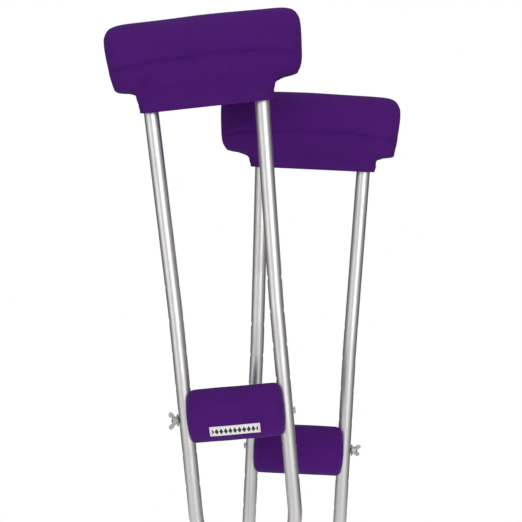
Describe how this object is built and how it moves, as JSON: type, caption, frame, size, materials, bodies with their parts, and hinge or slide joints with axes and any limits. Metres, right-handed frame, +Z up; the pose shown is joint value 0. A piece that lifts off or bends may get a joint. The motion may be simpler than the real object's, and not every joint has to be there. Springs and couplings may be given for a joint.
{
  "type": "pair of underarm crutches",
  "caption": "Aluminium underarm crutches with padded purple covers on underarm pads and hand grips, wing-nut grip bolts and telescoping legs.",
  "frame": {"origin": "on the floor that both rubber tips stand on, under the middle of the pair's outline", "axes": "+X across both crutches to the viewer's right, -Y towards the front crutch's labelled face, +Z up"},
  "size_m": [0.4032, 0.1634, 1.3015],
  "materials": {
    "aluminium": "satin anodised, drawn tube",
    "steel": "zinc plated",
    "wing_nut_metal": "dull zinc, cast",
    "purple_fabric": "matt knitted fleece over padding",
    "white_label": "woven satin label with a plain diamond row",
    "foam": "closed-cell foam",
    "plastic": "moulded, fine grain",
    "crosspiece_plastic": "moulded",
    "rubber": "matt moulded rubber"
  },
  "bodies": {
    "crutch_a": {"side_tube_left_a": "aluminium", "side_tube_right_a": "aluminium", "bow_plug_left_a": "plastic", "bow_plug_right_a": "plastic", "centre_tube_a": "aluminium", "centre_tube_cap_a": "plastic", "bow_rivet_upper_a": "steel", "bow_rivet_lower_a": "steel", "lower_collar_a": "plastic", "underarm_crosspiece_a": "crosspiece_plastic", "socket_rivet_left_a": "steel", "socket_rivet_right_a": "steel", "underarm_foam_a": "foam", "underarm_cover_a": "purple_fabric"},
    "grip_a": {"grip_core_a": "plastic", "grip_foam_a": "foam", "grip_cover_a": "purple_fabric", "grip_label_a": "white_label", "grip_bolt_a": "steel"},
    "washer_a": {"grip_washer_a": "steel"},
    "wing_nut_a": {"wing_nut_a": "wing_nut_metal"},
    "leg_a": {"leg_tube_a": "aluminium", "button_spring_a": "steel", "rubber_tip_a": "rubber", "tip_washer_a": "steel"},
    "button_front_a": {"snap_button_front_a": "steel"},
    "button_back_a": {"snap_button_back_a": "steel"},
    "crutch_b": {"side_tube_left_b": "aluminium", "side_tube_right_b": "aluminium", "bow_plug_left_b": "plastic", "bow_plug_right_b": "plastic", "centre_tube_b": "aluminium", "centre_tube_cap_b": "plastic", "bow_rivet_upper_b": "steel", "bow_rivet_lower_b": "steel", "lower_collar_b": "plastic", "underarm_crosspiece_b": "crosspiece_plastic", "socket_rivet_left_b": "steel", "socket_rivet_right_b": "steel", "underarm_foam_b": "foam", "underarm_cover_b": "purple_fabric"},
    "grip_b": {"grip_core_b": "plastic", "grip_foam_b": "foam", "grip_cover_b": "purple_fabric", "grip_label_b": "white_label", "grip_bolt_b": "steel"},
    "washer_b": {"grip_washer_b": "steel"},
    "wing_nut_b": {"wing_nut_b": "wing_nut_metal"},
    "leg_b": {"leg_tube_b": "aluminium", "button_spring_b": "steel", "rubber_tip_b": "rubber", "tip_washer_b": "steel"},
    "button_front_b": {"snap_button_front_b": "steel"},
    "button_back_b": {"snap_button_back_b": "steel"}
  },
  "joints": [
    {"name": "crutch_b_apart", "type": "slide", "parent": "crutch_a", "child": "crutch_b", "axis": [0, 1, 0], "range_m": [0, 0.3]},
    {"name": "grip_height_a", "type": "slide", "parent": "crutch_a", "child": "grip_a", "axis": [-0.0906, 0, 0.9959], "range_m": [-0.0889, 0.1778]},
    {"name": "nut_travel_a", "type": "slide", "parent": "grip_a", "child": "washer_a", "axis": [-0.9959, 0, -0.0906], "range_m": [0, 0.00381]},
    {"name": "wing_nut_turn_a", "type": "hinge", "parent": "washer_a", "child": "wing_nut_a", "pos_m": [-0.11086, -0.0462, 0.77574], "axis": [-0.9959, 0, -0.0906], "range_deg": [0, 1081]},
    {"name": "leg_length_a", "type": "slide", "parent": "crutch_a", "child": "leg_a", "axis": [0.0906, 0, -0.9959], "range_m": [-0.1016, 0.0508]},
    {"name": "button_front_press_a", "type": "slide", "parent": "leg_a", "child": "button_front_a", "axis": [0, 1, 0], "range_m": [0, 0.0052], "stiffness_N_per_m": 400, "springref_m": -0.003, "deforming": ["button_spring_a"]},
    {"name": "button_back_press_a", "type": "slide", "parent": "leg_a", "child": "button_back_a", "axis": [0, -1, 0], "range_m": [0, 0.0052], "stiffness_N_per_m": 400, "springref_m": -0.003, "deforming": ["button_spring_a"]},
    {"name": "grip_height_b", "type": "slide", "parent": "crutch_b", "child": "grip_b", "axis": [0.0462, 0, 0.9989], "range_m": [-0.0889, 0.1778]},
    {"name": "nut_travel_b", "type": "slide", "parent": "grip_b", "child": "washer_b", "axis": [0.9989, 0, -0.0462], "range_m": [0, 0.00381]},
    {"name": "wing_nut_turn_b", "type": "hinge", "parent": "washer_b", "child": "wing_nut_b", "pos_m": [0.13209, 0.0462, 0.70448], "axis": [0.9989, 0, -0.0462], "range_deg": [0, 1081]},
    {"name": "leg_length_b", "type": "slide", "parent": "crutch_b", "child": "leg_b", "axis": [-0.0462, 0, -0.9989], "range_m": [-0.0254, 0.127]},
    {"name": "button_front_press_b", "type": "slide", "parent": "leg_b", "child": "button_front_b", "axis": [0, -1, 0], "range_m": [0, 0.0052], "stiffness_N_per_m": 400, "springref_m": -0.003, "deforming": ["button_spring_b"]},
    {"name": "button_back_press_b", "type": "slide", "parent": "leg_b", "child": "button_back_b", "axis": [0, 1, 0], "range_m": [0, 0.0052], "stiffness_N_per_m": 400, "springref_m": -0.003, "deforming": ["button_spring_b"]}
  ],
  "couplings": [
    {"joint": "wing_nut_turn_a", "follows": "nut_travel_a", "rad_per_m": 4947.4},
    {"joint": "wing_nut_turn_b", "follows": "nut_travel_b", "rad_per_m": 4947.4}
  ]
}
